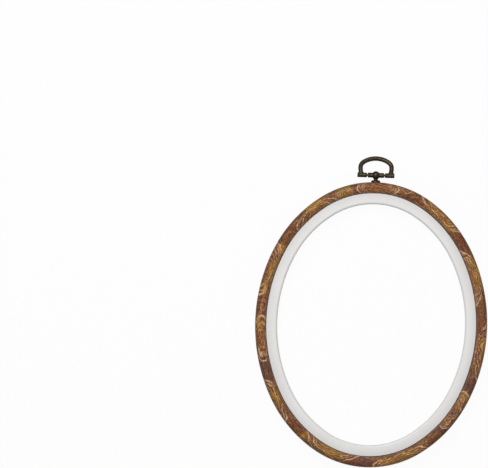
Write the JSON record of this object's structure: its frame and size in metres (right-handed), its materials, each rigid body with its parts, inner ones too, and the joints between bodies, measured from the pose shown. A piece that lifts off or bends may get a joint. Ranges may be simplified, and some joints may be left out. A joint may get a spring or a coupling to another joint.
{
  "type": "embroidery hoop",
  "caption": "Oval flexible display hoop for embroidery: a soft outer ring grips a rigid inner ring, and a metal hanger with a swinging D-shaped bail hangs it on a wall.",
  "frame": {"origin": "centre of the oval, on the plane that the hoop lies on", "axes": "+X to the right seen from the front, +Y towards the hanger along the oval's long axis, +Z out of the front face"},
  "size_m": [0.1128, 0.1512, 0.009],
  "materials": {
    "printed_vinyl": "soft vinyl with a printed swirled wood grain, low sheen",
    "white_plastic": "smooth moulded plastic, satin",
    "antique_metal": "dark antique plating, worn brighter on the high spots",
    "pin_steel": "darkened steel",
    "plated_steel": "bright zinc plate"
  },
  "bodies": {
    "inner_hoop": {"inner_ring": "white_plastic"},
    "outer_hoop": {"outer_ring": "printed_vinyl", "hanger_post": "antique_metal", "shank_washer": "plated_steel", "shank_nut": "plated_steel"},
    "bail_loop": {"bail": "antique_metal", "pivot_pin": "pin_steel"}
  },
  "joints": [
    {"name": "outer_hoop_lift", "type": "slide", "parent": "inner_hoop", "child": "outer_hoop", "axis": [0, 0, 1], "range_m": [0, 0.02]},
    {"name": "bail_swing", "type": "hinge", "parent": "outer_hoop", "child": "bail_loop", "pos_m": [0, 0.07268, 0.0042], "axis": [1, 0, 0], "range_deg": [-100, 146]}
  ]
}
